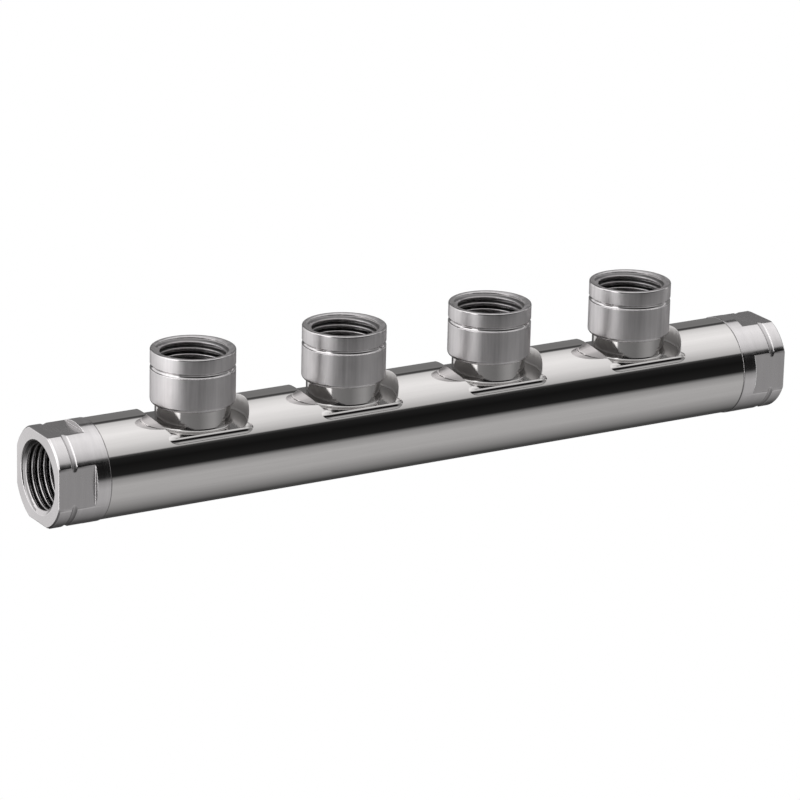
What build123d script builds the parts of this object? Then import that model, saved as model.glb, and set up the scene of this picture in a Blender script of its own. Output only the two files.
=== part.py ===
"""Pipe manifold: a polished tube with four pressed seats and pulled collars, a threaded socket over each collar
and a threaded fitting with wrench flats at each end. Origin at the centre of the left port's mouth, X along the
tube, Z up through the outlets, millimetres."""

import os

from build123d import *

# Main sizes
overall_length = 241.0
outlet_count = 4
outlet_pitch = 48.4
outlet_height = 30.6  # from the tube's axis to the sockets' rims

# Tube
tube_diameter = 28.6
tube_wall = 1.5

# Pressed seats round the collars
seat_margin = 0.26  # from the collar to where the seat's plane meets the round of the tube
seat_diameter = 31.2
seat_foot_radius = 0.5
seat_draft = 3.0  # degrees
crest_edge_radius = 0.15  # where the flat turns down over the fold
seat_overhang = 1.2  # how far the flat stands out over the tube's side
fold_radius = 2.1  # rounded fold that carries the overhang
fold_rise = 1.05  # from the fold's axis to the flat
fold_margin = 0.405  # even length of the fold beyond each corner of its seat
fold_fade = 4.0

# Collars pulled out of the seats
collar_diameter = 21.2
collar_foot_radius = 0.8
collar_entry = 3.0  # length inside the socket

# Parallel pipe thread, half inch: left as its bore here
thread_bore = 18.631
thread_major = 20.955

# Outlet sockets
socket_diameter = 24.0
socket_length = 15.7
socket_lower_round = 1.2
socket_groove_depth = 4.9  # from the rim to the groove's middle
socket_groove_width = 1.4
socket_groove_cut = 0.45
socket_edge = 0.2

# End fittings
fitting_step = 0.2  # how far the fitting stands proud of the tube
fitting_length = 15.4  # from the mouth to the seam on the tube
fitting_edge = 0.45
seam_edge = 0.15
spigot_length = 6.0
flat_cut = 1.4  # depth of each wrench flat
flat_length = 11.1
fitting_groove_depth = 4.8
fitting_groove_width = 1.8
fitting_groove_cut = 0.55

# Clearance of every piece that slides over or into another
slip_clearance = 0.05

# Values that follow
tube_radius = tube_diameter / 2
tube_length = overall_length - 2 * fitting_length
bore_radius = thread_bore / 2
lead_radius = thread_major / 2
lead_length = lead_radius - bore_radius
collar_radius = collar_diameter / 2
collar_bore = collar_radius - tube_wall
socket_base = outlet_height - socket_length
collar_top = socket_base + collar_entry
seat_radius = seat_diameter / 2
seat_edge_half = collar_radius + seat_margin
seat_height = (tube_radius**2 - seat_edge_half**2) ** 0.5
fold_axis_y = seat_edge_half + seat_overhang - (fold_radius**2 - fold_rise**2) ** 0.5
fold_axis_z = seat_height - fold_rise
crest_half = (seat_radius**2 - (seat_edge_half + seat_overhang) ** 2) ** 0.5
fold_length = 2 * (crest_half + fold_margin)
fitting_radius = tube_radius + fitting_step
flat_width = 2 * (fitting_radius - flat_cut)
first_outlet = (overall_length - (outlet_count - 1) * outlet_pitch) / 2
outlet_stations = [first_outlet + i * outlet_pitch for i in range(outlet_count)]


def station_plane(x):
    """Upright plane along the tube's axis, with its origin on that axis at an outlet."""
    return Plane((x, 0, 0), x_dir=(1, 0, 0), z_dir=(0, -1, 0))


def upright_axis(x):
    """The axis of the outlet that stands at x."""
    return Axis((x, 0, 0), (0, 0, 1))


def punch_profile(x, radius, floor, foot, top):
    """Half profile of the round punch that presses a seat: flat end, rounded corner, drafted side."""
    with BuildSketch(station_plane(x)) as profile:
        with BuildLine():
            flat_end = Line((0, floor), (radius, floor))
            side = PolarLine(flat_end @ 1, top - floor, 90 - seat_draft, length_mode=LengthMode.VERTICAL)
            Polyline(side @ 1, (0, top), (0, floor))
        make_face()
        fillet(vertices().sort_by_distance((radius, floor))[0], radius=foot)
    return profile.sketch


def fold_profile(x, side):
    """Half profile of the fold beside a seat: an even middle that fades into the tube at both ends."""
    fold_plane = Plane((x, side * fold_axis_y, fold_axis_z), x_dir=(1, 0, 0), z_dir=(0, -1, 0))
    even_half = fold_length / 2
    with BuildSketch(fold_plane) as profile:
        with BuildLine():
            even = Line((-even_half, fold_radius), (even_half, fold_radius))
            fade_out = TangentArc(even @ 1, (even_half + fold_fade, 0), tangent=(1, 0))
            fade_in = TangentArc(even @ 0, (-even_half - fold_fade, 0), tangent=(-1, 0))
            Line(fade_out @ 1, fade_in @ 1)
        make_face()
    return profile.sketch


# The open space inside the tube, its seats and its collars
with BuildPart() as waterway:
    with BuildSketch(Plane.YZ.offset(fitting_length)):
        Circle(tube_radius - tube_wall)
    extrude(amount=tube_length)
    for station in outlet_stations:
        inner_punch = punch_profile(
            station, seat_radius + tube_wall, seat_height - tube_wall, seat_foot_radius + tube_wall, tube_radius
        )
        revolve(inner_punch, axis=upright_axis(station), mode=Mode.SUBTRACT)
    with BuildSketch(Plane.XY):
        with Locations(*[(station, 0) for station in outlet_stations]):
            Circle(collar_bore)
    extrude(amount=collar_top)

# Tube with its folds, the seats pressed into both, and the collars
with BuildPart() as manifold_tube:
    with BuildSketch(Plane.YZ.offset(fitting_length)):
        Circle(tube_radius)
    extrude(amount=tube_length)
    for station in outlet_stations:
        for side in (-1, 1):
            fold_axis = Axis((station, side * fold_axis_y, fold_axis_z), (1, 0, 0))
            revolve(fold_profile(station, side), axis=fold_axis)
    for station in outlet_stations:
        outer_punch = punch_profile(station, seat_radius, seat_height, seat_foot_radius, collar_top)
        revolve(outer_punch, axis=upright_axis(station), mode=Mode.SUBTRACT)
    crests = (
        manifold_tube.edges()
        .filter_by(Axis.X)
        .filter_by(lambda edge: abs(edge.center().Z - seat_height) < slip_clearance)
    )
    fillet(crests, radius=crest_edge_radius)
    with BuildSketch(Plane.XY):
        with Locations(*[(station, 0) for station in outlet_stations]):
            Circle(collar_radius)
    extrude(amount=collar_top)
    collar_feet = (
        manifold_tube.edges()
        .filter_by(GeomType.CIRCLE)
        .filter_by(lambda edge: abs(edge.radius - collar_radius) < slip_clearance)
        .group_by(Axis.Z)[0]
    )
    fillet(collar_feet, radius=collar_foot_radius)
    add(waterway.part, mode=Mode.SUBTRACT)
manifold_tube.part.label = "manifold_tube"


def end_fitting(mouth, label):
    """Turned end fitting: the mouth plane's normal points along the bore, into the tube."""
    spigot_radius = tube_radius - tube_wall - slip_clearance
    inner_end = fitting_length + spigot_length
    groove_start = fitting_groove_depth - fitting_groove_width / 2
    groove_end = fitting_groove_depth + fitting_groove_width / 2
    section_plane = Plane(mouth.origin, x_dir=mouth.z_dir, z_dir=mouth.y_dir)
    with BuildPart() as fitting:
        with BuildSketch(section_plane):
            with BuildLine():
                outside = Polyline((0, lead_radius), (0, fitting_radius - fitting_edge), (fitting_edge, fitting_radius),
                                   (groove_start, fitting_radius))
                groove = ThreePointArc(outside @ 1, (fitting_groove_depth, fitting_radius - fitting_groove_cut),
                                       (groove_end, fitting_radius))
                Polyline(groove @ 1, (fitting_length - seam_edge, fitting_radius),
                         (fitting_length, fitting_radius - seam_edge), (fitting_length, spigot_radius),
                         (inner_end - fitting_edge, spigot_radius), (inner_end, spigot_radius - fitting_edge),
                         (inner_end, bore_radius), (lead_length, bore_radius), (0, lead_radius))
            make_face()
        revolve(axis=Axis(mouth.origin, mouth.z_dir))
        with BuildSketch(mouth):
            Circle(2 * fitting_radius)
            Rectangle(flat_width, flat_width, mode=Mode.SUBTRACT)
        extrude(amount=flat_length, mode=Mode.SUBTRACT)
    fitting.part.label = label
    return fitting.part


def outlet_socket(mouth, label):
    """Turned outlet socket: the mouth plane's normal points along the bore, down to the collar."""
    body_radius = socket_diameter / 2
    groove_start = socket_groove_depth - socket_groove_width / 2
    groove_end = socket_groove_depth + socket_groove_width / 2
    counterbore_radius = collar_radius + slip_clearance
    counterbore_floor = socket_length - collar_entry
    section_plane = Plane(mouth.origin, x_dir=mouth.z_dir, z_dir=mouth.y_dir)
    with BuildPart() as socket:
        with BuildSketch(section_plane):
            with BuildLine():
                outside = Polyline((0, lead_radius), (0, body_radius - socket_edge), (socket_edge, body_radius),
                                   (groove_start, body_radius))
                groove = ThreePointArc(outside @ 1, (socket_groove_depth, body_radius - socket_groove_cut),
                                       (groove_end, body_radius))
                skirt = Line(groove @ 1, (socket_length - socket_lower_round, body_radius))
                lower_round = RadiusArc(skirt @ 1, (socket_length, body_radius - socket_lower_round),
                                        -socket_lower_round)
                Polyline(lower_round @ 1, (socket_length, counterbore_radius),
                         (counterbore_floor, counterbore_radius), (counterbore_floor, bore_radius),
                         (lead_length, bore_radius), (0, lead_radius))
            make_face()
        revolve(axis=Axis(mouth.origin, mouth.z_dir))
    socket.part.label = label
    return socket.part


left_mouth = Plane((0, 0, 0), x_dir=(0, 1, 0), z_dir=(1, 0, 0))
right_mouth = Plane((overall_length, 0, 0), x_dir=(0, 1, 0), z_dir=(-1, 0, 0))
pieces = [
    manifold_tube.part,
    end_fitting(left_mouth, "left_end_fitting"),
    end_fitting(right_mouth, "right_end_fitting"),
]
for number, station in enumerate(outlet_stations, start=1):
    socket_mouth = Plane((station, 0, outlet_height), x_dir=(1, 0, 0), z_dir=(0, 0, -1))
    pieces.append(outlet_socket(socket_mouth, f"outlet_socket_{number}"))

os.makedirs("parts", exist_ok=True)
for piece in pieces:
    export_step(piece, f"parts/{piece.label}.step")
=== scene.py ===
"""Pipe manifold: the polished tube, the two threaded end fittings, the four threaded outlet sockets and the studio."""

import math
from functools import partial

import bmesh
import bpy
from bpy.props import FloatProperty, FloatVectorProperty, IntProperty, PointerProperty
from mathutils import Matrix, Vector


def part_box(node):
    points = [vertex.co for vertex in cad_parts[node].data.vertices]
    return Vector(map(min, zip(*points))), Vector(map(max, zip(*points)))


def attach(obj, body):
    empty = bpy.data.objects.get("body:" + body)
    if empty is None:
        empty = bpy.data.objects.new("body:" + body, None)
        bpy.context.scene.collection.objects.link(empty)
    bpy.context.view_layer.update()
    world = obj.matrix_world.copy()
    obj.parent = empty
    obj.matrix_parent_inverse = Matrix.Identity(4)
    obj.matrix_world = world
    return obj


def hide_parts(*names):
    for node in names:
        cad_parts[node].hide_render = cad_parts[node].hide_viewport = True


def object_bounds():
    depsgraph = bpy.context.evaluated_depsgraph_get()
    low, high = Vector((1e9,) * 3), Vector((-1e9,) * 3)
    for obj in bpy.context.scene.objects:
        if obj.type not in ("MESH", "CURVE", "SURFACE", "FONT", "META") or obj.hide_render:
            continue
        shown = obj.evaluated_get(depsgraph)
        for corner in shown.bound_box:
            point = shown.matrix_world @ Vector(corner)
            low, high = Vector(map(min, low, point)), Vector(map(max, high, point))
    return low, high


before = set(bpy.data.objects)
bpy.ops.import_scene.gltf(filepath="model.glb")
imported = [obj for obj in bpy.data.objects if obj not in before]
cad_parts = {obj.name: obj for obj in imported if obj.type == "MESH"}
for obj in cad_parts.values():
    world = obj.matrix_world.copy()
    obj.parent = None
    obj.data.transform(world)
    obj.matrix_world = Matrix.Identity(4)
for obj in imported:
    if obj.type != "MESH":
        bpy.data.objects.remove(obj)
cad_low, cad_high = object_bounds()

bl_info = {
    "name": "Pipe manifold",
    "version": (1, 0, 0),
    "blender": (4, 5, 0),
    "location": "3D View > Sidebar > Manifold",
    "description": "Makes a polished pipe manifold with threaded outlets over its CAD frame",
    "category": "Add Mesh",
}

MM = 0.001
X_AXIS, Y_AXIS, Z_AXIS = Vector((1, 0, 0)), Vector((0, 1, 0)), Vector((0, 0, 1))

# Places and sizes read from the frame
tube_low, tube_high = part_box("manifold_tube")
fitting_low, fitting_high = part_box("left_end_fitting")
socket_boxes = [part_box(f"outlet_socket_{number}") for number in range(1, 5)]
stations = [(low.x + high.x) / 2 for low, high in socket_boxes]
tube_radius = (tube_high.y - tube_low.y) / 2
collar_top = tube_high.z
overall_length = cad_high.x
outlet_height = cad_high.z


# Settings


def length_setting(name, description, millimetres):
    """A length, given in millimetres."""
    return FloatProperty(name=name, description=description, default=millimetres * MM, unit="LENGTH", precision=5)


def angle_setting(name, description, degrees):
    """An angle, given in degrees."""
    return FloatProperty(name=name, description=description, default=math.radians(degrees), unit="ROTATION")


def share_setting(name, description, default, highest=1.0):
    """A number from nothing to its highest value."""
    return FloatProperty(name=name, description=description, default=default, min=0.0, max=highest)


def level_setting(name, description, default):
    """A brightness."""
    return FloatProperty(name=name, description=description, default=default, min=0.0)


def colour_setting(name, description, default):
    """A colour."""
    return FloatVectorProperty(name=name, description=description, default=default, subtype="COLOR", size=3, min=0,
                               max=1)


class ManifoldThread(bpy.types.PropertyGroup):
    """Half-inch parallel pipe thread and how finely it is drawn."""

    pitch: length_setting("Pitch", "Distance between two crests", 1.814)
    minor_diameter: length_setting("Minor diameter", "Across the crests of the female thread", 18.631)
    major_diameter: length_setting("Major diameter", "Across the roots of the female thread", 20.955)
    lead_slope: FloatProperty(name="Lead-in slope", description="How fast the chamfer closes with depth", default=1.6,
                              min=0.5)
    crest_share: share_setting("Crest share", "How much of the wave the bored crest cuts off", 0.14, 0.5)
    rows_per_turn: IntProperty(name="Rows per turn", description="Mesh rows along one pitch", default=12, min=6)
    segments: IntProperty(name="Segments", description="Mesh columns round a piece, a multiple of eight",
                          default=192, min=32)


class ManifoldSeat(bpy.types.PropertyGroup):
    """Fold that carries each edge of a pressed seat."""

    fold_radius: length_setting("Fold radius", "Radius of the fold", 2.1)
    fold_rise: length_setting("Fold rise", "From the fold's axis to the flat", 1.05)
    foot_angle: angle_setting("Foot angle", "How far the fold's side faces down at its foot", 22)
    crest_softness: angle_setting("Crest softness", "How far the polish lays the crest back", 16)


class ManifoldSocket(bpy.types.PropertyGroup):
    """Turned outlet socket."""

    diameter: length_setting("Diameter", "Outside diameter", 24.0)
    length: length_setting("Length", "From the rim to the underside", 15.7)
    groove_place: length_setting("Groove place", "From the rim to the groove's middle", 4.9)
    groove_width: length_setting("Groove width", "Width of the turned groove", 1.4)
    groove_cut: length_setting("Groove depth", "Depth of the turned groove", 0.45)
    lower_round: length_setting("Lower round", "Radius of the lower outer edge", 1.2)
    counterbore: length_setting("Counterbore", "Diameter of the seat over the collar", 21.3)
    edge: length_setting("Edge", "Small edge round at the rim", 0.4)
    lead_diameter: length_setting("Lead-in diameter", "Across the chamfer at the rim", 21.8)


class ManifoldFitting(bpy.types.PropertyGroup):
    """Turned end fitting with four wrench flats."""

    diameter: length_setting("Diameter", "Outside diameter", 29.0)
    length: length_setting("Length", "From the mouth to the seam", 15.4)
    spigot_diameter: length_setting("Spigot diameter", "Part inside the tube", 25.5)
    thread_length: length_setting("Thread length", "Threaded depth from the mouth", 14.0)
    flat_width: length_setting("Across flats", "Across the wrench flats", 26.2)
    flat_length: length_setting("Flat length", "Length of the wrench flats", 11.1)
    groove_place: length_setting("Groove place", "From the mouth to the groove's middle", 4.8)
    groove_width: length_setting("Groove width", "Width of the turned groove", 1.8)
    groove_cut: length_setting("Groove depth", "Depth of the turned groove", 0.55)
    edge: length_setting("Edge", "Edge chamfer at the mouth", 0.45)
    seam_edge: length_setting("Seam edge", "Edge chamfer at the seam", 0.15)
    lead_diameter: length_setting("Lead-in diameter", "Across the chamfer at the mouth", 21.2)


class ManifoldFinish(bpy.types.PropertyGroup):
    """Colours and gloss of the steel."""

    polished_colour: colour_setting("Polished steel", "Reflected colour of the tube", (0.80, 0.785, 0.775))
    turned_colour: colour_setting("Turned steel", "Reflected colour of the turned pieces", (0.66, 0.645, 0.65))
    polished_roughness: share_setting("Polished roughness", "Gloss of the tube", 0.045)
    collar_roughness: share_setting("Collar roughness", "Gloss of the drawn collars", 0.13)
    seat_roughness: share_setting("Seat roughness", "Gloss of the pressed seats", 0.10)
    seat_tone: share_setting("Seat tone", "Darkening of the pressed seats", 0.66)
    # Painted shade: how dark the foot of the seats' end walls is painted
    wall_foot_shade: share_setting("Wall foot shade", "Darkening at the foot of the seats' end walls", 0.68)
    wall_roughness: share_setting("Wall roughness", "Gloss of the seats' drawn end walls", 0.7)
    turned_roughness: share_setting("Turned roughness", "Gloss of the turned sockets", 0.42)
    round_tone: share_setting("Fitting tone", "Brightening of the fittings' round part", 1.2, 1.4)
    milled_tone: share_setting("Milled tone", "Brightening of flats and end faces", 1.0, 1.4)
    grooved_roughness: share_setting("Groove roughness", "Gloss of turned grooves and edges", 0.14)
    milled_roughness: share_setting("Milled roughness", "Gloss of flats and end faces", 0.26)
    round_roughness: share_setting("Fitting roughness", "Gloss of the fittings' round part", 0.14)


class ManifoldStage(bpy.types.PropertyGroup):
    """Camera, floor and lights."""

    lens: FloatProperty(name="Lens", description="Focal length in millimetres", default=196.2, min=10)
    camera_place: FloatVectorProperty(name="Camera place", description="Where the camera stands", size=3,
                                      subtype="TRANSLATION", default=(-0.49675, -1.01660, 0.39675))
    azimuth: angle_setting("Azimuth", "Turn of the camera about the upright", -31.048)
    elevation: angle_setting("Elevation", "Angle above the horizon", 18.26)
    roll: angle_setting("Roll", "Tilt of the picture", 1.386)
    floor_gap: length_setting("Floor gap", "Between the fittings and the floor", 0.2)
    floor: level_setting("Floor", "Brightness of the floor in the steel", 0.47)
    under: level_setting("Under", "Brightness of the shade under the tube", 0.06)
    drape: level_setting("Drape", "Brightness of the dark drape in front", 0.008)
    overhead: level_setting("Overhead light", "Brightness of the overhead softbox", 1.0)
    left: level_setting("Left light", "Brightness of the left softbox", 1.7)
    right: level_setting("Right side", "Brightness of the room on the right", 0.25)
    room: level_setting("Room", "Brightness of the room behind", 0.20)
    light_colour: colour_setting("Light colour", "Tint of the light", (1.0, 0.99, 0.99))


# Node helpers


def math_node(tree, operation, *values):
    """One Math node; each value is a number or a socket."""
    node = tree.nodes.new("ShaderNodeMath")
    node.operation = operation
    for socket, value in zip(node.inputs, values):
        if isinstance(value, bpy.types.NodeSocket):
            tree.links.new(value, socket)
        else:
            socket.default_value = value
    return node.outputs[0]


def vector_node(tree, operation, *values):
    """One Vector Math node; each value is a vector or a socket."""
    node = tree.nodes.new("ShaderNodeVectorMath")
    node.operation = operation
    sockets = [node.inputs[0], node.inputs["Scale"]] if operation == "SCALE" else node.inputs
    for socket, value in zip(sockets, values):
        if isinstance(value, bpy.types.NodeSocket):
            tree.links.new(value, socket)
        else:
            socket.default_value = value
    return node.outputs["Vector"]


def part_of(tree, vector, name):
    """One of a vector's three numbers."""
    node = tree.nodes.new("ShaderNodeSeparateXYZ")
    tree.links.new(vector, node.inputs[0])
    return node.outputs[name]


def choose(tree, test, if_false, if_true):
    """A number that depends on a 0 or 1 test."""
    difference = math_node(tree, "SUBTRACT", if_true, if_false)
    return math_node(tree, "MULTIPLY_ADD", test, difference, if_false)


# Turned, threaded pieces


CREST_MARK = 0.3  # mark of a thread's crest; its root is marked 1 and the plain steel 0


def tree_sockets(tree):
    """Adds the named inputs and the output of the turned piece's tree, and gives the inputs and the result."""
    face = tree.interface
    inputs = (
        ("NodeSocketGeometry", ("Profile",)),
        ("NodeSocketInt", ("Segments", "Thread Rows", "Rows per Turn")),
        ("NodeSocketFloat", ("Pitch", "Bore Radius", "Root Radius", "Thread End", "Crest Share", "Lead Radius",
                             "Lead Slope", "Flat Distance", "Flat Edge", "Corner Angle")),
        ("NodeSocketVector", ("Mouth", "Inward", "Across")),
        ("NodeSocketMaterial", ("Material",)),
    )
    for kind, names in inputs:
        for name in names:
            face.new_socket(name, in_out="INPUT", socket_type=kind)
    face.new_socket("Piece", in_out="OUTPUT", socket_type="NodeSocketGeometry")
    return tree.nodes.new("NodeGroupInput").outputs, tree.nodes.new("NodeGroupOutput").inputs


def grid_cells(tree, calc, given):
    """A grid with one column for each segment and one row for each profile point or thread row.

    Gives the grid's mesh, each vertex's column and row, and the number of profile points.
    """
    size = tree.nodes.new("GeometryNodeAttributeDomainSize")
    tree.links.new(given["Profile"], size.inputs["Geometry"])
    points = size.outputs["Point Count"]
    rows = calc("ADD", points, given["Thread Rows"])
    grid = tree.nodes.new("GeometryNodeMeshGrid")
    grid.inputs["Size X"].default_value = 1.0
    grid.inputs["Size Y"].default_value = 1.0
    tree.links.new(calc("ADD", given["Segments"], 1.0), grid.inputs["Vertices X"])
    tree.links.new(rows, grid.inputs["Vertices Y"])
    place = tree.nodes.new("GeometryNodeInputPosition").outputs[0]
    column = calc("ROUND", calc("MULTIPLY", calc("ADD", part_of(tree, place, "X"), 0.5), given["Segments"]))
    last_row = calc("SUBTRACT", rows, 1.0)
    row = calc("ROUND", calc("MULTIPLY", calc("ADD", part_of(tree, place, "Y"), 0.5), last_row))
    return grid.outputs["Mesh"], column, row, points


def column_angle(tree, calc, given, column):
    """Angle of a column: half of each quarter's columns lie on the flat, half on the round."""
    quarter = calc("DIVIDE", given["Segments"], 4.0)
    half_quarter = calc("DIVIDE", given["Segments"], 8.0)
    turn_quarter = calc("FLOOR", calc("DIVIDE", calc("ADD", column, 0.25), quarter))
    step = calc("SUBTRACT", column, calc("MULTIPLY", turn_quarter, quarter))
    corner = given["Corner Angle"]
    flat_share = calc("DIVIDE", step, half_quarter)
    on_flat = calc("ADD", calc("MULTIPLY", corner, -1.0), calc("MULTIPLY", calc("MULTIPLY", corner, 2.0), flat_share))
    round_span = calc("SUBTRACT", math.pi / 2, calc("MULTIPLY", corner, 2.0))
    on_round = calc("ADD", corner, calc("MULTIPLY", round_span, calc("SUBTRACT", flat_share, 1.0)))
    local_angle = choose(tree, calc("GREATER_THAN", flat_share, 1.0), on_flat, on_round)
    return calc("ADD", calc("MULTIPLY", turn_quarter, math.pi / 2), local_angle)


def outside_row(tree, calc, given, row, cosine, sine):
    """Depth and radius of a profile row, cut down to the flats where the profile is marked as flatted."""

    def sampled(kind, source):
        sample = tree.nodes.new("GeometryNodeSampleIndex")
        sample.data_type = kind
        sample.clamp = True
        tree.links.new(given["Profile"], sample.inputs["Geometry"])
        tree.links.new(row, sample.inputs["Index"])
        tree.links.new(source, sample.inputs["Value"])
        return sample.outputs["Value"]

    flatted = tree.nodes.new("GeometryNodeInputNamedAttribute")
    flatted.data_type = "FLOAT"
    flatted.inputs["Name"].default_value = "flatted"
    position = sampled("FLOAT_VECTOR", tree.nodes.new("GeometryNodeInputPosition").outputs[0])
    depth, radius = part_of(tree, position, "X"), part_of(tree, position, "Y")
    edge_cut = calc("MAXIMUM", calc("SUBTRACT", given["Flat Edge"], depth), 0.0)
    flat_here = calc("DIVIDE", calc("SUBTRACT", given["Flat Distance"], edge_cut),
                     calc("MAXIMUM", calc("ABSOLUTE", cosine), calc("ABSOLUTE", sine)))
    milled = calc("MINIMUM", radius, flat_here)
    return depth, choose(tree, sampled("FLOAT", flatted.outputs["Attribute"]), radius, milled)


def thread_row(tree, calc, given, row, angle):
    """Depth, radius and mark of a thread row, which follows the helix between the mouth and the thread's end."""
    start = calc("ADD", given["Thread End"], given["Pitch"])
    dropped = calc("DIVIDE", calc("MULTIPLY", row, given["Pitch"]), given["Rows per Turn"])
    turns = calc("DIVIDE", angle, 2 * math.pi)
    wound = calc("ADD", calc("SUBTRACT", start, dropped), calc("MULTIPLY", given["Pitch"], turns))
    depth = calc("MINIMUM", calc("MAXIMUM", wound, 0.0), given["Thread End"])
    back_from_end = calc("DIVIDE", calc("SUBTRACT", depth, given["Thread End"]), given["Pitch"])
    phase = calc("MULTIPLY", calc("SUBTRACT", back_from_end, turns), 2 * math.pi)
    wave = calc("SUBTRACT", 0.5, calc("MULTIPLY", calc("COSINE", phase), 0.5))
    cut_wave = calc("MAXIMUM", calc("SUBTRACT", wave, given["Crest Share"]), 0.0)
    form = calc("DIVIDE", cut_wave, calc("SUBTRACT", 1.0, given["Crest Share"]))
    run_out = calc("MINIMUM", calc("MULTIPLY", back_from_end, -1.25), 1.0)
    height = calc("SUBTRACT", given["Root Radius"], given["Bore Radius"])
    wall = calc("ADD", given["Bore Radius"], calc("MULTIPLY", calc("MULTIPLY", form, run_out), height))
    lead_in = calc("SUBTRACT", given["Lead Radius"], calc("MULTIPLY", depth, given["Lead Slope"]))
    behind_lead = calc("GREATER_THAN", calc("SUBTRACT", wall, lead_in), 0.0)
    shade = calc("MULTIPLY_ADD", form, 1.0 - CREST_MARK, CREST_MARK)
    return depth, calc("MAXIMUM", wall, lead_in), calc("MULTIPLY", behind_lead, shade)


def turned_piece_tree():
    """Geometry Nodes: turns a profile about its axis, mills flats on it and winds a female thread in its bore."""
    tree = bpy.data.node_groups.new("Turned threaded piece", "GeometryNodeTree")
    given, result = tree_sockets(tree)
    calc = partial(math_node, tree)
    grid, column, row, points = grid_cells(tree, calc, given)
    angle = column_angle(tree, calc, given, column)
    cosine, sine = calc("COSINE", angle), calc("SINE", angle)
    past_profile = calc("SUBTRACT", row, points)
    profile_depth, profile_radius = outside_row(tree, calc, given, row, cosine, sine)
    thread_depth, thread_radius, mark = thread_row(tree, calc, given, past_profile, angle)

    # Both kinds of row, placed about the piece's axis
    is_thread = calc("GREATER_THAN", past_profile, -0.5)
    depth = choose(tree, is_thread, profile_depth, thread_depth)
    radius = choose(tree, is_thread, profile_radius, thread_radius)
    upward = vector_node(tree, "CROSS_PRODUCT", given["Inward"], given["Across"])
    along = vector_node(tree, "SCALE", given["Inward"], depth)
    across = vector_node(tree, "SCALE", given["Across"], calc("MULTIPLY", radius, cosine))
    up = vector_node(tree, "SCALE", upward, calc("MULTIPLY", radius, sine))
    off_mouth = vector_node(tree, "ADD", along, vector_node(tree, "ADD", across, up))
    spot = vector_node(tree, "ADD", given["Mouth"], off_mouth)
    # The thread's mark, from which the materials paint shade on the flanks and a highlight on the roots
    marked = tree.nodes.new("GeometryNodeStoreNamedAttribute")
    marked.data_type = "FLOAT"
    marked.domain = "POINT"
    marked.inputs["Name"].default_value = "thread_root"
    tree.links.new(grid, marked.inputs["Geometry"])
    tree.links.new(calc("MULTIPLY", is_thread, mark), marked.inputs["Value"])
    moved = tree.nodes.new("GeometryNodeSetPosition")
    tree.links.new(marked.outputs[0], moved.inputs["Geometry"])
    tree.links.new(spot, moved.inputs["Position"])
    merged = tree.nodes.new("GeometryNodeMergeByDistance")
    merged.inputs["Distance"].default_value = 0.002 * MM
    tree.links.new(moved.outputs[0], merged.inputs["Geometry"])
    realized = tree.nodes.new("GeometryNodeRealizeInstances")
    tree.links.new(merged.outputs[0], realized.inputs[0])
    painted = tree.nodes.new("GeometryNodeSetMaterial")
    tree.links.new(realized.outputs[0], painted.inputs["Geometry"])
    tree.links.new(given["Material"], painted.inputs["Material"])
    tree.links.new(painted.outputs[0], result["Piece"])
    return tree


def arc(centre, radius, start, end, steps):
    """Points of an arc in the (depth, radius) plane, from one angle to another in degrees."""
    points = []
    for step in range(steps + 1):
        angle = math.radians(start + (end - start) * step / steps)
        points.append((centre[0] + radius * math.cos(angle), centre[1] + radius * math.sin(angle)))
    return points


def groove_points(place, width, cut, outside):
    """A round-bottomed groove in a turned outside, from its near edge to its far edge."""
    arc_radius = (width**2 / 4 + cut**2) / (2 * cut)
    half_angle = math.degrees(math.asin(width / 2 / arc_radius))
    centre = (place, outside - cut + arc_radius)
    return arc(centre, arc_radius, 270 - half_angle, 270 + half_angle, 8)


def turned_piece(tree, name, profile, inputs, material):
    """Evaluates the tree on one profile and keeps the result as a plain, closed mesh object."""
    line = bpy.data.meshes.new(name + "_profile")
    line.from_pydata([(depth, radius, 0) for depth, radius, _ in profile], [], [])
    flatted = line.attributes.new("flatted", "FLOAT", "POINT")
    flatted.data.foreach_set("value", [float(flat) for _, _, flat in profile])
    maker = bpy.data.objects.new(name + "_maker", line)
    bpy.context.scene.collection.objects.link(maker)
    modifier = maker.modifiers.new("Turned piece", "NODES")
    modifier.node_group = tree
    sockets = {item.name: item.identifier for item in tree.interface.items_tree if item.in_out == "INPUT"}
    for key, value in {**inputs, "Material": material}.items():
        modifier[sockets[key]] = value
    maker.update_tag()
    graph = bpy.context.evaluated_depsgraph_get()
    mesh = bpy.data.meshes.new_from_object(maker.evaluated_get(graph), preserve_all_data_layers=True, depsgraph=graph)
    bpy.data.objects.remove(maker)
    bpy.data.meshes.remove(line)
    return closed_piece(name, mesh, sharp_angle=28)


def closed_piece(name, mesh, sharp_angle):
    """Makes an object of a mesh with merged doubles, outward faces and sharp edges above an angle."""
    shape = bmesh.new()
    shape.from_mesh(mesh)
    bmesh.ops.remove_doubles(shape, verts=shape.verts, dist=1e-6)
    bmesh.ops.dissolve_degenerate(shape, edges=shape.edges, dist=1e-7)
    bmesh.ops.recalc_face_normals(shape, faces=shape.faces)
    for polygon in shape.faces:
        polygon.smooth = True
    shape.to_mesh(mesh)
    shape.free()
    if not mesh.polygons:
        raise RuntimeError(f"{name} came out empty")
    mesh.set_sharp_from_angle(angle=math.radians(sharp_angle))
    mesh.name = name
    piece = bpy.data.objects.new(name, mesh)
    bpy.context.scene.collection.objects.link(piece)
    return piece


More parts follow.
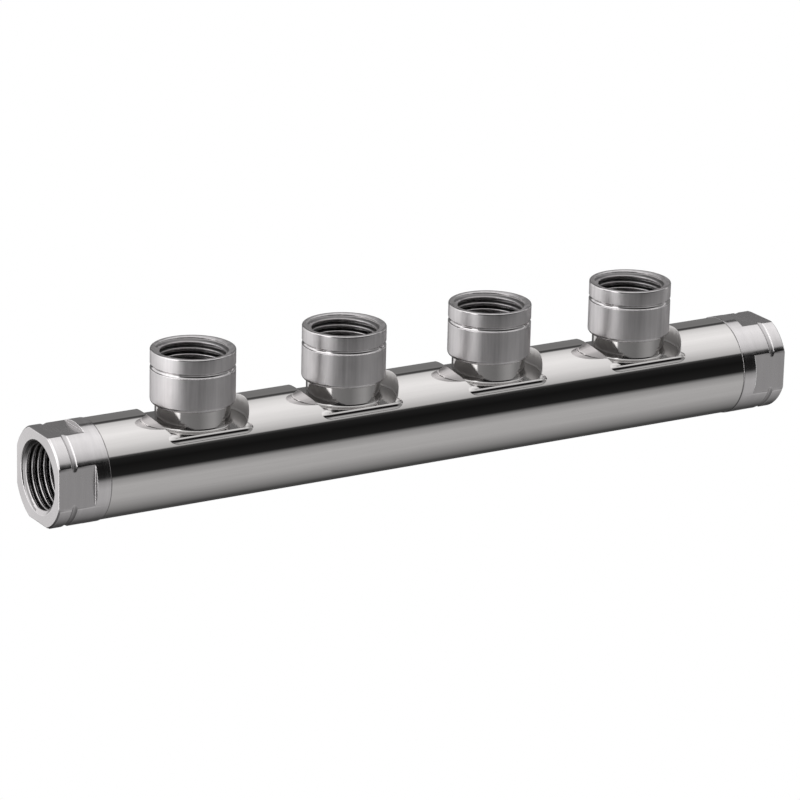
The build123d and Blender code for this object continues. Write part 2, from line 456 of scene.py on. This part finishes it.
def thread_inputs(thread, thread_end, lead_diameter, segments):
    """The thread's share of the tree's inputs."""
    rows = math.ceil(thread.rows_per_turn * (thread_end / thread.pitch + 2)) + 1
    return {
        "Segments": segments,
        "Thread Rows": rows,
        "Rows per Turn": thread.rows_per_turn,
        "Pitch": thread.pitch,
        "Bore Radius": thread.minor_diameter / 2,
        "Root Radius": thread.major_diameter / 2,
        "Thread End": thread_end,
        "Crest Share": thread.crest_share,
        "Lead Radius": lead_diameter / 2,
        "Lead Slope": thread.lead_slope,
    }


# Finishes


def noise_value(tree, vector, scale, detail, roughness, distortion=0.0):
    """The value of one 3D noise."""
    node = tree.nodes.new("ShaderNodeTexNoise")
    node.inputs["Scale"].default_value = scale
    node.inputs["Detail"].default_value = detail
    node.inputs["Roughness"].default_value = roughness
    node.inputs["Distortion"].default_value = distortion
    tree.links.new(vector, node.inputs["Vector"])
    return node.outputs["Fac"]


def map_range(tree, value, low, high, to_low, to_high):
    """A number moved from one range to another, held at both ends."""
    node = tree.nodes.new("ShaderNodeMapRange")
    node.clamp = True
    for name, number in (("From Min", low), ("From Max", high), ("To Min", to_low), ("To Max", to_high)):
        node.inputs[name].default_value = number
    tree.links.new(value, node.inputs["Value"])
    return node.outputs["Result"]


def new_group(name, inputs, outputs):
    """An empty shader group with named float and vector sockets; gives the group, its inputs and its result."""
    group = bpy.data.node_groups.new(name, "ShaderNodeTree")
    for socket, kind in inputs:
        group.interface.new_socket(socket, in_out="INPUT", socket_type=kind)
    for socket, kind in outputs:
        group.interface.new_socket(socket, in_out="OUTPUT", socket_type=kind)
    return group, group.nodes.new("NodeGroupInput").outputs, group.nodes.new("NodeGroupOutput").inputs


NUMBER, DIRECTION = "NodeSocketFloat", "NodeSocketVector"


def tool_lines_group():
    """Shader group: fine turning and brushing lines, drawn out along the directions with a small scale, and stains."""
    group, given, result = new_group("Tool lines", [("Stretch", DIRECTION)], [("Lines", NUMBER), ("Clouds", NUMBER)])
    place = group.nodes.new("ShaderNodeTexCoord").outputs["Object"]
    stretched = vector_node(group, "MULTIPLY", place, given["Stretch"])
    group.links.new(noise_value(group, stretched, 1.0, 4.0, 0.6), result["Lines"])
    group.links.new(noise_value(group, place, 110.0, 4.0, 0.55, 0.6), result["Clouds"])
    return group


def rounded_edges_group():
    """Shader group: how near an edge is, and the normal of that edge rounded over."""
    group, given, result = new_group("Rounded edges", [("Radius", NUMBER)], [("Edge", NUMBER), ("Normal", DIRECTION)])
    bevel = group.nodes.new("ShaderNodeBevel")
    bevel.samples = 8
    group.links.new(given["Radius"], bevel.inputs["Radius"])
    surface = group.nodes.new("ShaderNodeNewGeometry").outputs["Normal"]
    dot = group.nodes.new("ShaderNodeVectorMath")
    dot.operation = "DOT_PRODUCT"
    group.links.new(bevel.outputs["Normal"], dot.inputs[0])
    group.links.new(surface, dot.inputs[1])
    edge = map_range(group, math_node(group, "SUBTRACT", 1.0, dot.outputs["Value"]), 0.006, 0.05, 0.0, 1.0)
    towards = vector_node(group, "SCALE", vector_node(group, "SUBTRACT", bevel.outputs["Normal"], surface), edge)
    group.links.new(vector_node(group, "NORMALIZE", vector_node(group, "ADD", surface, towards)), result["Normal"])
    group.links.new(edge, result["Edge"])
    return group


def place_group(tree, name, maker, **values):
    """Puts a shader group, made once, into a material."""
    node = tree.nodes.new("ShaderNodeGroup")
    node.node_tree = bpy.data.node_groups.get(name) or maker()
    for key, value in values.items():
        node.inputs[key].default_value = value
    return node.outputs


def length_of(tree, first, second):
    """Length of the hypotenuse over two numbers."""
    squares = math_node(tree, "MULTIPLY_ADD", first, first, math_node(tree, "MULTIPLY", second, second))
    return math_node(tree, "SQRT", squares)


def steel(name, colour, zones, stretch, line_depth, line_colour, line_gloss, cloud_colour, cloud_gloss, edge_radius,
          edge_highlight):
    """A bare steel finish: zones of tone and gloss, tool lines, stains, and edges rounded in the shading with a
    painted highlight along them.
    """
    material = bpy.data.materials.new(name)
    material.use_nodes = True
    tree = material.node_tree
    shader = tree.nodes["Principled BSDF"]
    shader.inputs["Metallic"].default_value = 1.0
    marks = place_group(tree, "Tool lines", tool_lines_group, Stretch=stretch)
    edges = place_group(tree, "Rounded edges", rounded_edges_group, Radius=edge_radius)
    lines = math_node(tree, "SUBTRACT", marks["Lines"], 0.5)
    clouds = math_node(tree, "SUBTRACT", marks["Clouds"], 0.5)
    tone, gloss = zones(tree)
    tone = math_node(tree, "MULTIPLY", tone, math_node(tree, "MULTIPLY_ADD", lines, line_colour, 1.0))
    tone = math_node(tree, "MULTIPLY", tone, math_node(tree, "MULTIPLY_ADD", clouds, cloud_colour, 1.0))
    # Painted highlight: the base colour is brightened along the edges
    tone = math_node(tree, "MULTIPLY", tone, math_node(tree, "MULTIPLY_ADD", edges["Edge"], edge_highlight, 1.0))
    tree.links.new(vector_node(tree, "SCALE", tuple(colour), tone), shader.inputs["Base Color"])
    gloss = math_node(tree, "MULTIPLY_ADD", lines, line_gloss, gloss)
    gloss = math_node(tree, "MULTIPLY_ADD", clouds, cloud_gloss, gloss)
    gloss = math_node(tree, "MULTIPLY", gloss, math_node(tree, "MULTIPLY_ADD", edges["Edge"], -0.4, 1.0))
    tree.links.new(math_node(tree, "MAXIMUM", gloss, 0.03), shader.inputs["Roughness"])
    bump = tree.nodes.new("ShaderNodeBump")
    bump.inputs["Strength"].default_value = 1.0
    bump.inputs["Distance"].default_value = line_depth
    tree.links.new(marks["Lines"], bump.inputs["Height"])
    tree.links.new(edges["Normal"], bump.inputs["Normal"])
    tree.links.new(bump.outputs["Normal"], shader.inputs["Normal"])
    return material


def thread_shade_and_highlight(tree):
    """Painted light in a cut thread: painted shade on the flanks, a painted highlight on the roots, the narrow crests
    at full tone.
    """
    flank_shade, root_highlight = 0.4, 0.9
    mark = tree.nodes.new("ShaderNodeAttribute")
    mark.attribute_name = "thread_root"
    crest = map_range(tree, mark.outputs["Fac"], CREST_MARK, 0.5, 1.0, flank_shade)
    root = map_range(tree, mark.outputs["Fac"], 0.85, 1.0, flank_shade, root_highlight)
    return math_node(tree, "MAXIMUM", crest, root)


def place_parts(tree):
    """The three numbers of the place on the object."""
    place = tree.nodes.new("ShaderNodeTexCoord").outputs["Object"]
    return [part_of(tree, place, name) for name in "XYZ"]


def from_outlet(tree, x, y):
    """Distance from the nearest outlet's axis."""
    pitch = stations[1] - stations[0]
    shifted = math_node(tree, "FLOORED_MODULO", math_node(tree, "SUBTRACT", x, stations[0] - pitch / 2), pitch)
    return length_of(tree, math_node(tree, "SUBTRACT", shifted, pitch / 2), y)


def tube_zones(finish):
    """Tone and gloss of the tube: mirror polish, duller pressed seats, painted shade at the foot of the seats' end
    walls, dark weld seams at both ends.
    """
    middle, half = (tube_low.x + tube_high.x) / 2, (tube_high.x - tube_low.x) / 2
    # Where each zone begins and ends: from the outlet's axis, or above the tube's axis
    collar_foot, end_wall, seat_rim = (10.8 * MM, 11.6 * MM), (15.0 * MM, 15.4 * MM), (15.7 * MM, 15.95 * MM)
    seat_level, wall_rise = (9.2 * MM, 9.28 * MM), (9.5 * MM, 13.0 * MM)
    seam_start = (half - 0.3 * MM, half - 0.12 * MM)

    def zones(tree):
        x, y, z = place_parts(tree)
        from_axis = from_outlet(tree, x, y)
        seat = math_node(tree, "MULTIPLY", map_range(tree, from_axis, *seat_rim, 1.0, 0.0),
                         map_range(tree, z, *seat_level, 0.0, 1.0))
        on_wall = map_range(tree, from_axis, *end_wall, 0.0, 1.0)
        floor_gloss = map_range(tree, from_axis, *collar_foot, finish.collar_roughness, finish.seat_roughness)
        floor_tone = map_range(tree, from_axis, *collar_foot, finish.seat_tone * 1.2, finish.seat_tone)
        # Painted shade: the end walls are painted darker towards their foot, where the collar and socket above shade
        # them
        wall_foot_shade = map_range(tree, z, *wall_rise, finish.wall_foot_shade, 1.0)
        seam = map_range(tree, math_node(tree, "ABSOLUTE", math_node(tree, "SUBTRACT", x, middle)), *seam_start,
                         0.0, 1.0)
        pressed_tone = choose(tree, on_wall, floor_tone, wall_foot_shade)
        tone = math_node(tree, "MULTIPLY", choose(tree, seat, 1.0, pressed_tone),
                         math_node(tree, "MULTIPLY_ADD", seam, -0.55, 1.0))
        pressed_gloss = choose(tree, on_wall, floor_gloss, finish.wall_roughness)
        gloss = choose(tree, seat, finish.polished_roughness, pressed_gloss)
        return tone, math_node(tree, "MULTIPLY_ADD", seam, 0.2, gloss)

    return zones


def socket_zones(finish, socket):
    """Tone and gloss of a socket: satin body, glossy rim, groove and lower edge, painted shade and highlights in the
    thread.
    """
    body, edge, lower_edge = socket.diameter / 2, socket.edge, socket.length - socket.lower_round

    def zones(tree):
        x, y, z = place_parts(tree)
        from_axis = from_outlet(tree, x, y)
        depth = math_node(tree, "SUBTRACT", outlet_height, z)
        outer = map_range(tree, from_axis, body - edge * 1.2, body - edge, 0.0, 1.0)
        rim = math_node(tree, "MULTIPLY", outer, map_range(tree, depth, edge, edge * 1.2, 1.0, 0.0))
        off_groove = math_node(tree, "ABSOLUTE", math_node(tree, "SUBTRACT", depth, socket.groove_place))
        groove = map_range(tree, off_groove, socket.groove_width * 0.5, socket.groove_width * 0.54, 1.0, 0.0)
        foot = map_range(tree, depth, lower_edge, lower_edge + socket.lower_round * 0.2, 0.0, 1.0)
        glossy = math_node(tree, "MAXIMUM", math_node(tree, "MAXIMUM", rim, groove), foot)
        return thread_shade_and_highlight(tree), choose(tree, glossy, finish.turned_roughness, finish.grooved_roughness)

    return zones


def fitting_zones(finish, body):
    """Tone and gloss of an end fitting: polished round, satin end face and flats, painted shade and highlights in the
    thread, stained seam.
    """
    tube_end = fitting_high.x - 6.0 * MM  # where the spigot begins

    def zones(tree):
        x, y, z = place_parts(tree)
        facing = tree.nodes.new("ShaderNodeNewGeometry").outputs["True Normal"]
        end_on = map_range(tree, math_node(tree, "ABSOLUTE", part_of(tree, facing, "X")), 0.85, 0.95, 0.0, 1.0)
        flat = map_range(tree, length_of(tree, y, z), body - 0.12 * MM, body - 0.05 * MM, 1.0, 0.0)
        satin = math_node(tree, "MAXIMUM", flat, end_on)
        depth = math_node(tree, "MINIMUM", x, math_node(tree, "SUBTRACT", overall_length, x))
        seam = map_range(tree, depth, tube_end - 0.3 * MM, tube_end - 0.05 * MM, 0.0, 1.0)
        tone = math_node(tree, "MULTIPLY", thread_shade_and_highlight(tree), math_node(tree, "MULTIPLY_ADD", seam, -0.4, 1.0))
        tone = math_node(tree, "MULTIPLY", tone, choose(tree, satin, finish.round_tone, finish.milled_tone))
        return tone, choose(tree, satin, finish.round_roughness, finish.milled_roughness)

    return zones


# Pieces


def exact_normals(mesh, seat):
    """Gives the tube's true round and flat stretches their exact normals, so that the polish reflects cleanly."""
    slack = 0.006 * MM
    same_face, same_corner = 0.99, 0.985  # cosines up to which a face or a corner belongs to a true shape

    def nearest_station(co):
        return min(stations, key=lambda station: abs(co.x - station))

    # The flat seats are the largest faces that look up, and the collar's outside is at its own top ring
    flats = [(polygon.area, polygon.center.z) for polygon in mesh.polygons
             if polygon.normal.z > 0.99999 and tube_radius * 0.5 < polygon.center.z < tube_radius * 0.9]
    seat_height = max(flats, default=(0, 0))[1]
    top_ring = [math.hypot(v.co.x - stations[0], v.co.y) for v in mesh.vertices
                if abs(v.co.z - collar_top) < slack and abs(v.co.x - stations[0]) < tube_radius]
    collar_radius = min((radius for radius in top_ring if radius > tube_radius * 0.7), default=0)

    def on_round(co):
        return abs(math.hypot(co.y, co.z) - tube_radius) < slack

    def on_collar(co):
        return abs(math.hypot(co.x - nearest_station(co), co.y) - collar_radius) < slack and co.z > 0

    def on_seat(co):
        return abs(co.z - seat_height) < slack

    true_shapes = (
        (on_round, lambda co: Vector((0, co.y, co.z)).normalized()),
        (on_collar, lambda co: Vector((co.x - nearest_station(co), co.y, 0)).normalized()),
        (on_seat, lambda co: Z_AXIS),
    )

    # The folds stand proud of the round, below the seats
    fold_z = seat_height - seat.fold_rise
    foot, crest = -seat.foot_angle, math.asin(seat.fold_rise / seat.fold_radius)

    def on_fold(co):
        proud = math.hypot(co.y, co.z) > tube_radius + slack
        return proud and fold_z - seat.fold_radius < co.z < fold_z + seat.fold_rise - slack * 5

    def laid_back(normal):
        """The fold's normal, turned further up the nearer it is to the crest."""
        rise = math.atan2(normal.z, abs(normal.y))
        up = rise + seat.crest_softness * min(max((rise - foot) / (crest - foot), 0.0), 1.0)
        across = math.hypot(normal.y, normal.z)
        return Vector((normal.x, math.copysign(across * math.cos(up), normal.y), across * math.sin(up)))

    members = [[test(vertex.co) for vertex in mesh.vertices] for test, _ in true_shapes]
    normals = [Vector(corner.vector) for corner in mesh.corner_normals]
    for polygon in mesh.polygons:
        for loop in polygon.loop_indices:
            vertex = mesh.loops[loop].vertex_index
            for inside, (_, true_normal) in zip(members, true_shapes):
                if not inside[vertex]:
                    continue
                true = true_normal(mesh.vertices[vertex].co)
                whole_face = all(inside[index] for index in polygon.vertices) and polygon.normal.dot(true) > same_face
                if whole_face or normals[loop].dot(true) > same_corner:
                    normals[loop] = true
                    break
            else:
                if abs(polygon.normal.z) < 0.7 and on_fold(polygon.center):
                    normals[loop] = laid_back(normals[loop])
    mesh.normals_split_custom_set(normals)


class MANIFOLD_OT_tube(bpy.types.Operator):
    """Make the polished tube with its pressed seats and collars"""

    bl_idname = "manifold.tube"
    bl_label = "Polished tube"

    def execute(self, context):
        finish = context.scene.manifold_finish
        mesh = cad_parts["manifold_tube"].data.copy()
        tube = closed_piece("polished_tube", mesh, sharp_angle=24)
        exact_normals(tube.data, context.scene.manifold_seat)
        tube.data.materials.clear()
        tube.data.materials.append(
            steel("Polished steel", finish.polished_colour, tube_zones(finish), stretch=(40, 900, 900),
                  line_depth=2e-7, line_colour=0.1, line_gloss=0.10, cloud_colour=0.03, cloud_gloss=0.04,
                  edge_radius=0.18 * MM, edge_highlight=0.25))
        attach(tube, "root")
        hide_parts("manifold_tube")
        return {"FINISHED"}


class MANIFOLD_OT_outlet_sockets(bpy.types.Operator):
    """Make the four turned and threaded outlet sockets"""

    bl_idname = "manifold.outlet_sockets"
    bl_label = "Outlet sockets"

    def execute(self, context):
        scene = context.scene
        socket, thread, finish = scene.manifold_socket, scene.manifold_thread, scene.manifold_finish
        body = socket.diameter / 2
        thread_end = socket.length - (collar_top - (outlet_height - socket.length))
        edge, lower = socket.edge, socket.lower_round
        seat_radius = socket.counterbore / 2
        outline = [(0, socket.lead_diameter / 2), (0, body - edge * 1.5)]
        outline += arc((edge, body - edge), edge, 180, 90, 6)
        outline += groove_points(socket.groove_place, socket.groove_width, socket.groove_cut, body)
        outline += [(socket.length * 0.6, body)]
        outline += arc((socket.length - lower, body - lower), lower, 90, 0, 8)
        outline += [(socket.length, seat_radius), (thread_end, seat_radius), (thread_end, thread.minor_diameter / 2)]
        profile = [(depth, radius, 0) for depth, radius in outline]
        tree = bpy.data.node_groups.get("Turned threaded piece") or turned_piece_tree()
        material = steel("Turned steel", finish.turned_colour, socket_zones(finish, socket), stretch=(700, 700, 45),
                         line_depth=3e-5, line_colour=0.6, line_gloss=0.3, cloud_colour=0.2, cloud_gloss=0.16,
                         edge_radius=0.22 * MM, edge_highlight=0.35)
        for number, station in enumerate(stations, start=1):
            inputs = thread_inputs(thread, thread_end, socket.lead_diameter, thread.segments)
            inputs.update({"Flat Distance": 1.0, "Flat Edge": 0.0, "Corner Angle": math.pi / 8,
                           "Mouth": Vector((station, 0, outlet_height)), "Inward": -Z_AXIS, "Across": X_AXIS})
            piece = turned_piece(tree, f"threaded_socket_{number}", profile, inputs, material)
            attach(piece, "root")
            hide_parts(f"outlet_socket_{number}")
        return {"FINISHED"}


class MANIFOLD_OT_end_fittings(bpy.types.Operator):
    """Make the two turned end fittings with wrench flats and threads"""

    bl_idname = "manifold.end_fittings"
    bl_label = "End fittings"

    def execute(self, context):
        scene = context.scene
        fitting, thread, finish = scene.manifold_fitting, scene.manifold_thread, scene.manifold_finish
        body = fitting.diameter / 2
        inner_end = fitting_high.x - fitting_low.x
        spigot = fitting.spigot_diameter / 2
        bore = thread.minor_diameter / 2
        edge, seam = fitting.edge, fitting.seam_edge
        milled = [(0, fitting.lead_diameter / 2), (0, body - edge), (edge / 3, body - edge * 2 / 3), (edge, body)]
        milled += groove_points(fitting.groove_place, fitting.groove_width, fitting.groove_cut, body)
        milled += [(fitting.flat_length, body)]
        plain = [(fitting.flat_length, body), (fitting.length - seam, body), (fitting.length, body - seam),
                 (fitting.length, spigot), (inner_end - edge, spigot), (inner_end, spigot - edge), (inner_end, bore),
                 (fitting.thread_length, bore)]
        profile = [(depth, radius, 1) for depth, radius in milled] + [(depth, radius, 0) for depth, radius in plain]
        tree = bpy.data.node_groups.get("Turned threaded piece") or turned_piece_tree()
        material = steel("Milled steel", finish.turned_colour, fitting_zones(finish, body), stretch=(600, 60, 60),
                         line_depth=6e-7, line_colour=0.3, line_gloss=0.10, cloud_colour=0.10, cloud_gloss=0.12,
                         edge_radius=0.4 * MM, edge_highlight=0.35)
        corner = math.acos(fitting.flat_width / fitting.diameter)
        ends = (("left", Vector((0, 0, 0)), X_AXIS), ("right", Vector((overall_length, 0, 0)), -X_AXIS))
        for side, mouth, inward in ends:
            inputs = thread_inputs(thread, fitting.thread_length, fitting.lead_diameter, thread.segments * 2)
            inputs.update({"Flat Distance": fitting.flat_width / 2, "Flat Edge": edge / 3, "Corner Angle": corner,
                           "Mouth": mouth, "Inward": inward, "Across": Y_AXIS})
            piece = turned_piece(tree, f"{side}_threaded_fitting", profile, inputs, material)
            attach(piece, "root")
            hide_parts(f"{side}_end_fitting")
        return {"FINISHED"}


# Studio


def floor_material():
    """Pale floor that stays white round the object."""
    material = bpy.data.materials.new("Floor")
    material.use_nodes = True
    tree = material.node_tree
    tree.nodes.remove(tree.nodes["Principled BSDF"])
    white = tree.nodes.new("ShaderNodeEmission")
    white.inputs["Color"].default_value = (1, 1, 1, 1)
    tree.links.new(white.outputs[0], tree.nodes["Material Output"].inputs["Surface"])
    return material


def band_level(tree, stage, y, z):
    """Brightness of the bands that run along the tube, by the angle above the front horizon."""
    bands = (
        (-180, stage.room), (-150, stage.under), (-123, stage.under), (-90, stage.floor * 0.56),
        (-60, stage.floor * 0.94), (-30, stage.floor), (-14, stage.floor * 0.7), (-5, stage.drape * 2),
        (18, stage.drape), (33, stage.drape * 2), (38.4, stage.drape * 9), (39.6, stage.overhead * 0.49),
        (63, stage.overhead * 0.82), (92, stage.overhead), (113, stage.overhead * 0.88),
        (129, stage.overhead * 0.66), (131, stage.room), (134, stage.under), (139, stage.under),
        (142, stage.room * 1.1), (150, stage.room), (180, stage.room),
    )
    angle = math_node(tree, "ARCTAN2", z, math_node(tree, "MULTIPLY", y, -1.0))
    ramp = tree.nodes.new("ShaderNodeValToRGB")
    tree.links.new(math_node(tree, "MULTIPLY_ADD", angle, 1 / (2 * math.pi), 0.5), ramp.inputs["Fac"])
    stops = ramp.color_ramp.elements
    while len(stops) < len(bands):
        stops.new(1.0)
    for stop, (degrees, level) in zip(stops, bands):
        stop.position = (degrees + 180) / 360
        stop.color = (level, level, level, 1)
    return part_of(tree, ramp.outputs["Color"], "X")


def left_softbox(tree, x, y, z):
    """Where the left softbox, an upright rectangle, stands in the directions round the part."""
    away = math_node(tree, "MAXIMUM", math_node(tree, "MULTIPLY", x, -1.0), 0.001)
    along, upward = math_node(tree, "DIVIDE", y, away), math_node(tree, "DIVIDE", z, away)
    # Its front edge, its dimmer back, its back edge, its lower and its upper edge
    edges = ((along, -0.46, -0.41, 0.0, 1.0), (along, 0.0, 1.4, 1.0, 0.5), (along, 8.0, 20.0, 1.0, 0.0),
             (z, -0.5, -0.36, 0.0, 1.0), (upward, 0.9, 1.3, 1.0, 0.0))
    lit = math_node(tree, "LESS_THAN", x, 0.0)
    for edge in edges:
        lit = math_node(tree, "MULTIPLY", lit, map_range(tree, *edge))
    return lit


def studio_world(stage):
    """The studio that the steel reflects: floor, dark drape, long overhead softbox, left softbox, grey room."""
    world = bpy.data.worlds.new("Studio")
    world.use_nodes = True
    tree = world.node_tree
    direction = tree.nodes.new("ShaderNodeTexCoord").outputs["Generated"]
    x, y, z = (part_of(tree, direction, name) for name in "XYZ")
    level = band_level(tree, stage, y, z)

    # The floor is shaded towards the left, and the room is dark grey towards the right with one narrow light
    shaded = map_range(tree, x, -0.1, 0.42, 0.6, 1.0)
    low = map_range(tree, z, -0.1, 0.1, 1.0, 0.0)
    level = math_node(tree, "MULTIPLY", level, choose(tree, low, 1.0, shaded))
    right = map_range(tree, x, 0.62, 0.9, 0.0, 1.0)
    narrow = math_node(tree, "MULTIPLY", map_range(tree, x, 0.8, 0.86, 0.0, 1.0),
                       map_range(tree, math_node(tree, "ABSOLUTE", y), 0.08, 0.11, 1.0, 0.0))
    level = choose(tree, right, level, choose(tree, narrow, stage.right, stage.right * 3))
    level = choose(tree, left_softbox(tree, x, y, z), level, stage.left)
    tint = vector_node(tree, "SCALE", tuple(stage.light_colour), level)
    tree.links.new(tint, tree.nodes["Background"].inputs["Color"])
    return world


def floor_object(stage):
    """The floor, which only the camera sees."""
    middle, low, reach = overall_length / 2, -cad_high.y - stage.floor_gap, 6.0
    corners = [(middle - reach, -reach, low), (middle + reach, -reach, low), (middle + reach, reach, low),
               (middle - reach, reach, low)]
    mesh = bpy.data.meshes.new("floor")
    mesh.from_pydata(corners, [], [(0, 1, 2, 3)])
    mesh.materials.append(floor_material())
    floor = bpy.data.objects.new("floor", mesh)
    floor.visible_glossy = False
    floor.visible_diffuse = False
    return floor


def camera_object(stage):
    """The camera, from its place, its three turns and its lens."""
    turn, rise, roll = stage.azimuth, stage.elevation, stage.roll
    back = Vector((math.sin(turn) * math.cos(rise), -math.cos(turn) * math.cos(rise), math.sin(rise)))
    level = Vector((math.cos(turn), math.sin(turn), 0))
    upright = back.cross(level)
    right = level * math.cos(roll) + upright * math.sin(roll)
    up = upright * math.cos(roll) - level * math.sin(roll)
    lens = bpy.data.cameras.new("Camera")
    lens.lens = stage.lens
    lens.sensor_width = 36.0
    lens.clip_start, lens.clip_end = 0.05, 20.0
    camera = bpy.data.objects.new("Camera", lens)
    camera.matrix_world = Matrix.Translation(stage.camera_place) @ Matrix((right, up, back)).transposed().to_4x4()
    return camera


class MANIFOLD_OT_stage(bpy.types.Operator):
    """Make the floor, the softboxes, the room and the camera"""

    bl_idname = "manifold.stage"
    bl_label = "Studio"

    def execute(self, context):
        scene = context.scene
        stage = scene.manifold_stage
        floor = floor_object(stage)
        scene.collection.objects.link(floor)
        scene.world = studio_world(stage)
        camera = camera_object(stage)
        scene.collection.objects.link(camera)
        scene.camera = camera
        scene.view_settings.view_transform = "Standard"
        return {"FINISHED"}


class MANIFOLD_PT_panel(bpy.types.Panel):
    """Lists the steps in the sidebar"""

    bl_idname = "MANIFOLD_PT_panel"
    bl_label = "Pipe manifold"
    bl_space_type = "VIEW_3D"
    bl_region_type = "UI"
    bl_category = "Manifold"

    def draw(self, context):
        for step in STEPS:
            self.layout.operator(step.bl_idname)


SETTINGS = {
    "manifold_thread": ManifoldThread,
    "manifold_seat": ManifoldSeat,
    "manifold_socket": ManifoldSocket,
    "manifold_fitting": ManifoldFitting,
    "manifold_finish": ManifoldFinish,
    "manifold_stage": ManifoldStage,
}
STEPS = (MANIFOLD_OT_stage, MANIFOLD_OT_tube, MANIFOLD_OT_outlet_sockets, MANIFOLD_OT_end_fittings)


def register():
    for name, group in SETTINGS.items():
        bpy.utils.register_class(group)
        setattr(bpy.types.Scene, name, PointerProperty(type=group))
    for step in STEPS:
        bpy.utils.register_class(step)
    bpy.utils.register_class(MANIFOLD_PT_panel)


def unregister():
    bpy.utils.unregister_class(MANIFOLD_PT_panel)
    for step in reversed(STEPS):
        bpy.utils.unregister_class(step)
    for name, group in reversed(SETTINGS.items()):
        delattr(bpy.types.Scene, name)
        bpy.utils.unregister_class(group)


def main():
    register()
    bpy.ops.manifold.stage()
    bpy.ops.manifold.tube()
    bpy.ops.manifold.outlet_sockets()
    bpy.ops.manifold.end_fittings()


if __name__ == "__main__":
    main()
